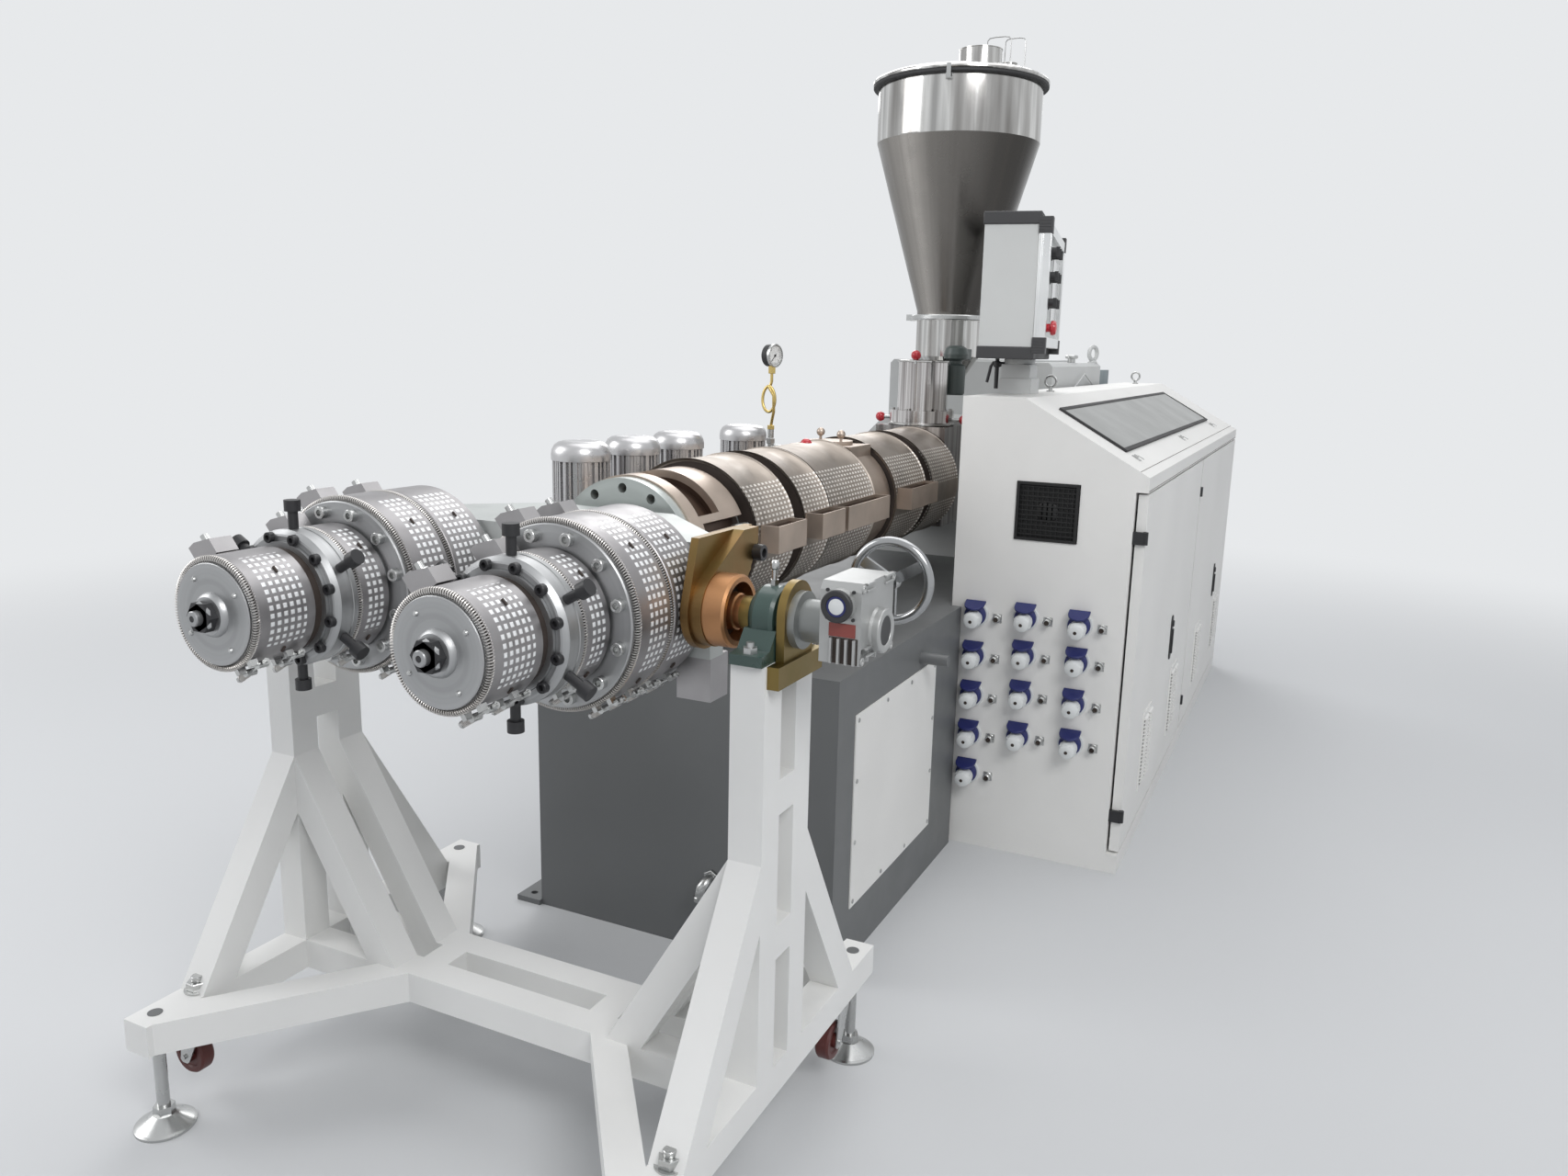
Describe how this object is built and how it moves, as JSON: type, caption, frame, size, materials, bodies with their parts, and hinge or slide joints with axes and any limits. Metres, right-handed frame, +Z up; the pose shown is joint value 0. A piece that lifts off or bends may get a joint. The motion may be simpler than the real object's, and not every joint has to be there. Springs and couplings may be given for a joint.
{
  "type": "plastic extruder",
  "caption": "Conical twin-screw plastic extruder with a twin pipe die head on a tilting stand, hopper, screw feeder, base, drive and control cabinet.",
  "frame": {"origin": "on the floor, on the underside of the base, below the barrel axis and 1000 mm behind the die head's trunnion axis", "axes": "+Y along the machine from the die head to the drive end, +X towards the control cabinet, +Z up"},
  "size_m": [1.429, 4.825, 2.404],
  "materials": {
    "white_paint": "powder coat",
    "pale_grey_paint": "satin paint",
    "dark_grey_paint": "satin paint",
    "manifold_steel": "plated",
    "turned_steel": "turned",
    "band_steel": "perforated stainless sheet",
    "cover_steel": "polished sheet",
    "brown_steel": "heat tinted",
    "mirror_steel": "mirror polished stainless",
    "zinc_yellow": "yellow passivated zinc",
    "black_oxide": "blackened steel",
    "bearing_green": "gloss paint on casting",
    "cast_silver": "painted casting",
    "zinc_plate": "zinc plated",
    "caster_tread": "moulded tread",
    "motor_green": "satin paint",
    "motor_grey": "satin paint",
    "brass_fittings": "turned brass",
    "window_plastic": "smoked acrylic",
    "socket_blue": "moulded"
  },
  "bodies": {
    "machine": {"stand_left_frame": "white_paint", "stand_right_frame": "white_paint", "stand_cross_beams": "white_paint", "levelling_feet": "zinc_plate", "bearing_blocks": "bearing_green", "drive_bracket": "zinc_yellow", "worm_gearbox": "cast_silver", "barrel": "manifold_steel", "barrel_sleeve": "brown_steel", "barrel_covers": "cover_steel", "air_outlets": "cover_steel", "vent_housing": "cover_steel", "cooling_blowers": "cast_silver", "gauge_column": "brass_fittings", "feed_throat": "mirror_steel", "screw_feeder": "mirror_steel", "feeder_motor": "motor_green", "hopper": "mirror_steel", "hopper_lid": "mirror_steel", "base_frame": "dark_grey_paint", "base_side_panels": "white_paint", "main_gearbox": "pale_grey_paint", "main_motor": "motor_grey", "cabinet_shell": "white_paint", "cabinet_window": "window_plastic", "cabinet_sockets": "socket_blue", "cabinet_hinges": "black_oxide", "control_column": "pale_grey_paint"},
    "die": {"die_manifold": "manifold_steel", "trunnion_brackets": "zinc_yellow", "die_heads": "turned_steel", "die_clamp_rings": "turned_steel", "heater_bands_front": "band_steel", "heater_bands_middle": "band_steel", "heater_bands_rear": "band_steel", "die_screws": "black_oxide", "heater_terminal_boxes": "band_steel"},
    "handwheel": {"handwheel": "zinc_plate"},
    "fork_front_left": {"caster_fork_front_left": "zinc_plate"},
    "fork_front_right": {"caster_fork_front_right": "zinc_plate"},
    "fork_rear_left": {"caster_fork_rear_left": "zinc_plate"},
    "fork_rear_right": {"caster_fork_rear_right": "zinc_plate"},
    "wheel_front_left": {"caster_wheel_front_left": "caster_tread"},
    "wheel_front_right": {"caster_wheel_front_right": "caster_tread"},
    "wheel_rear_left": {"caster_wheel_rear_left": "caster_tread"},
    "wheel_rear_right": {"caster_wheel_rear_right": "caster_tread"},
    "door_front": {"cabinet_door_front": "white_paint"},
    "door_rear": {"cabinet_door_rear": "white_paint"},
    "operator_box": {"control_box": "white_paint"}
  },
  "joints": [
    {"name": "die_tilt", "type": "hinge", "parent": "machine", "child": "die", "pos_m": [0, -1, 1], "axis": [-1, 0, 0], "range_deg": [0, 90]},
    {"name": "handwheel_turn", "type": "hinge", "parent": "machine", "child": "handwheel", "pos_m": [0.651, -0.855, 1.047], "axis": [0, 1, 0], "range_deg": [0, 2700]},
    {"name": "swivel_front_left", "type": "hinge", "parent": "machine", "child": "fork_front_left", "pos_m": [-0.51, -1.31, 0.15], "axis": [0, 0, 1], "continuous": true},
    {"name": "swivel_front_right", "type": "hinge", "parent": "machine", "child": "fork_front_right", "pos_m": [0.51, -1.31, 0.15], "axis": [0, 0, 1], "continuous": true},
    {"name": "swivel_rear_left", "type": "hinge", "parent": "machine", "child": "fork_rear_left", "pos_m": [-0.51, -0.69, 0.15], "axis": [0, 0, 1], "continuous": true},
    {"name": "swivel_rear_right", "type": "hinge", "parent": "machine", "child": "fork_rear_right", "pos_m": [0.51, -0.69, 0.15], "axis": [0, 0, 1], "continuous": true},
    {"name": "roll_front_left", "type": "hinge", "parent": "fork_front_left", "child": "wheel_front_left", "pos_m": [-0.534, -1.31, 0.092], "axis": [0, 1, 0], "continuous": true},
    {"name": "roll_front_right", "type": "hinge", "parent": "fork_front_right", "child": "wheel_front_right", "pos_m": [0.51, -1.286, 0.092], "axis": [1, 0, 0], "continuous": true},
    {"name": "roll_rear_left", "type": "hinge", "parent": "fork_rear_left", "child": "wheel_rear_left", "pos_m": [-0.51, -0.714, 0.092], "axis": [1, 0, 0], "continuous": true},
    {"name": "roll_rear_right", "type": "hinge", "parent": "fork_rear_right", "child": "wheel_rear_right", "pos_m": [0.51, -0.714, 0.092], "axis": [1, 0, 0], "continuous": true},
    {"name": "front_door_swing", "type": "hinge", "parent": "machine", "child": "door_front", "pos_m": [0.85, 0.521, 0.56], "axis": [0, 0, -1], "range_deg": [0, 90]},
    {"name": "rear_door_swing", "type": "hinge", "parent": "machine", "child": "door_rear", "pos_m": [0.85, 1.779, 0.56], "axis": [0, 0, -1], "range_deg": [0, 90]},
    {"name": "operator_box_swivel", "type": "hinge", "parent": "machine", "child": "operator_box", "pos_m": [0.385, 0.91, 1.402], "axis": [0, 0, 1], "range_deg": [-90, 90]}
  ],
  "couplings": [
    {"joint": "handwheel_turn", "follows": "die_tilt", "ratio": 30}
  ]
}
